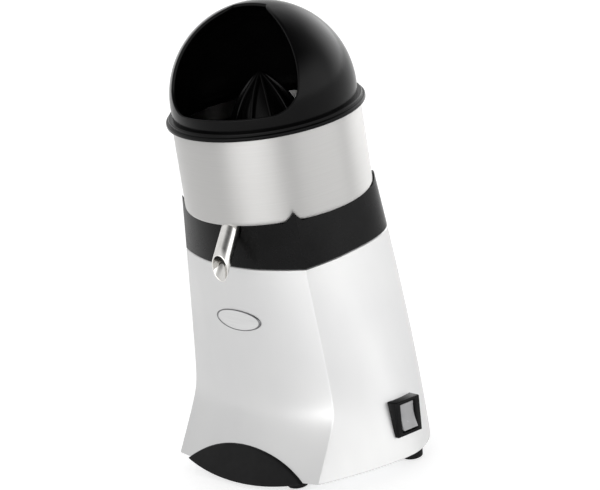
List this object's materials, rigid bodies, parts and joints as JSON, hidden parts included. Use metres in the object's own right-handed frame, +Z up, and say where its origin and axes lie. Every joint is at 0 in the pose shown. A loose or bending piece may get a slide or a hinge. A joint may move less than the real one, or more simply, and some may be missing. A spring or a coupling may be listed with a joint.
{
  "type": "electric citrus juicer",
  "caption": "Upright electric citrus juicer: metal motor shell, lift-off steel bowl with spout, strainer and spinning cone, and a domed splash cover with an arched opening.",
  "frame": {"origin": "on the motor axis at the table plane, within 2 mm of the middle of the object's footprint box", "axes": "+Z up along the motor shaft, -Y towards the front face with the spout, +X towards the side with the switch"},
  "size_m": [0.2029, 0.1741, 0.348],
  "materials": {
    "polished_shell": "polished cast shell",
    "satin_black_plastic": "satin moulded",
    "gloss_black_plastic": "gloss moulded",
    "badge_metal": "satin plate",
    "brushed_steel": "brushed",
    "polished_steel": "polished tube",
    "black_rubber": "matte",
    "zinc_plate": "zinc plated sheet",
    "plated_screws": "zinc plated",
    "cast_aluminium": "as cast",
    "laminated_steel": "stacked sheet",
    "copper_winding": "varnished copper",
    "bearing_steel": "ground",
    "cage_brass": "pressed",
    "shaft_steel": "ground",
    "fan_plastic": "moulded",
    "capacitor_case": "moulded",
    "terminal_plastic": "moulded",
    "switch_plastic": "moulded",
    "rocker_plastic": "moulded",
    "lead_insulation": "insulated lead"
  },
  "bodies": {
    "base": {"housing": "polished_shell", "collar": "satin_black_plastic", "badge": "badge_metal", "front_plaque": "satin_black_plastic", "base_plate": "zinc_plate", "rubber_feet": "black_rubber", "foot_screws": "plated_screws", "collar_screws": "plated_screws", "upper_end_bell": "cast_aluminium", "lower_end_bell": "cast_aluminium", "stator_core": "laminated_steel", "stator_windings": "copper_winding", "motor_bolts": "plated_screws", "upper_bearing_outer_ring": "bearing_steel", "lower_bearing_outer_ring": "bearing_steel", "shaft_seal": "black_rubber", "run_capacitor": "capacitor_case", "capacitor_bracket": "zinc_plate", "terminal_block": "terminal_plastic", "switch_bezel": "satin_black_plastic", "switch_body": "switch_plastic", "cord_gland": "satin_black_plastic", "gland_cap_nut": "satin_black_plastic", "gland_lock_nut": "satin_black_plastic", "internal_wiring": "lead_insulation"},
    "rotor": {"motor_shaft": "shaft_steel", "rotor_core": "laminated_steel", "cooling_fan": "fan_plastic", "drive_pin": "shaft_steel", "upper_bearing_inner_ring": "bearing_steel", "lower_bearing_inner_ring": "bearing_steel", "shaft_circlips": "shaft_steel"},
    "ball_cages": {"upper_ball_cage": "cage_brass", "lower_ball_cage": "cage_brass"},
    "bowl": {"bowl": "brushed_steel", "spout": "polished_steel"},
    "strainer": {"strainer": "gloss_black_plastic"},
    "cone": {"squeezing_cone": "gloss_black_plastic"},
    "dome": {"dome_cover": "gloss_black_plastic"},
    "rocker": {"rocker": "rocker_plastic"}
  },
  "joints": [
    {"name": "rotor_spin", "type": "hinge", "parent": "base", "child": "rotor", "pos_m": [0, 0, 0.11], "axis": [0, 0, 1], "continuous": true},
    {"name": "cage_spin", "type": "hinge", "parent": "base", "child": "ball_cages", "pos_m": [0, 0, 0.11], "axis": [0, 0, 1], "continuous": true},
    {"name": "bowl_lift", "type": "slide", "parent": "base", "child": "bowl", "axis": [0, 0, 1], "range_m": [0, 0.08]},
    {"name": "strainer_lift", "type": "slide", "parent": "bowl", "child": "strainer", "axis": [0, 0, 1], "range_m": [0, 0.03]},
    {"name": "cone_spin", "type": "hinge", "parent": "strainer", "child": "cone", "pos_m": [0, 0, 0.25], "axis": [0, 0, 1], "continuous": true},
    {"name": "dome_lift", "type": "slide", "parent": "bowl", "child": "dome", "axis": [0, 0, 1], "range_m": [0, 0.1]},
    {"name": "switch_rock", "type": "hinge", "parent": "base", "child": "rocker", "pos_m": [0.09532, 0.00097, 0.0385], "axis": [0.0348, 0.997, -0.0698], "range_deg": [0, 18]}
  ],
  "couplings": [
    {"joint": "cone_spin", "follows": "rotor_spin", "ratio": 1},
    {"joint": "cage_spin", "follows": "rotor_spin", "ratio": 0.36364}
  ]
}
